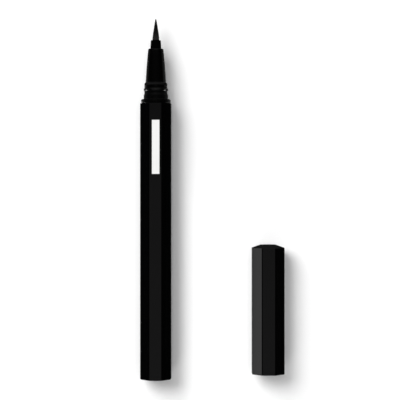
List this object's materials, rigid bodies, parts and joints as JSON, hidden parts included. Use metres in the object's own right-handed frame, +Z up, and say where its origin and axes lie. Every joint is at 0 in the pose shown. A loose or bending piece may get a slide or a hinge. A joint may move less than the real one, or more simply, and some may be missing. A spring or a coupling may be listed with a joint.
{
  "type": "liquid eyeliner pen",
  "caption": "Octagonal liquid eyeliner pen with a pointed brush tip and a pull-off octagonal cap lying beside it.",
  "frame": {"origin": "middle of the barrel's underside facet, the face the pen rests on", "axes": "+Y along the pen towards the brush, +Z up from the rest facet, +X towards the cap that lies beside the pen"},
  "size_m": [0.0484, 0.1213, 0.0109],
  "materials": {
    "barrel_plastic": "satin black",
    "cap_plastic": "satin black",
    "neck_plastic": "gloss black",
    "tip_plastic": "matt black",
    "bristle": "black nylon bristle",
    "liner_plastic": "matt black",
    "natural_resin": "natural translucent moulding",
    "white_resin": "white moulding",
    "feed_fibre": "bonded fibre rod",
    "seal_rubber": "black rubber",
    "steel": "bright steel"
  },
  "bodies": {
    "pen": {"barrel": "barrel_plastic", "ink_tank": "natural_resin", "tank_stopper": "white_resin", "stopper_o_ring": "seal_rubber", "collector": "white_resin", "feed_core": "feed_fibre", "neck_o_ring": "seal_rubber", "neck": "neck_plastic", "nose_cone": "neck_plastic", "tip_tube": "tip_plastic", "brush_root": "tip_plastic", "brush_bristles": "bristle"},
    "ball": {"mixing_ball": "steel"},
    "cap": {"cap_shell": "cap_plastic", "cap_liner": "liner_plastic", "inner_cap_spring": "steel"},
    "inner_cap": {"inner_cap": "liner_plastic"}
  },
  "joints": [
    {"name": "cap_pull", "type": "slide", "parent": "pen", "child": "cap", "axis": [0, 1, 0], "range_m": [0, 0.1225]},
    {"name": "inner_cap_press", "type": "slide", "parent": "cap", "child": "inner_cap", "axis": [0, 1, 0], "range_m": [0, 0.002], "stiffness_N_per_m": 60, "springref_m": -0.002, "deforming": ["inner_cap_spring"]},
    {"name": "ball_roll", "type": "slide", "parent": "pen", "child": "ball", "axis": [0, 1, 0], "range_m": [-0.0255, 0.0255]}
  ]
}
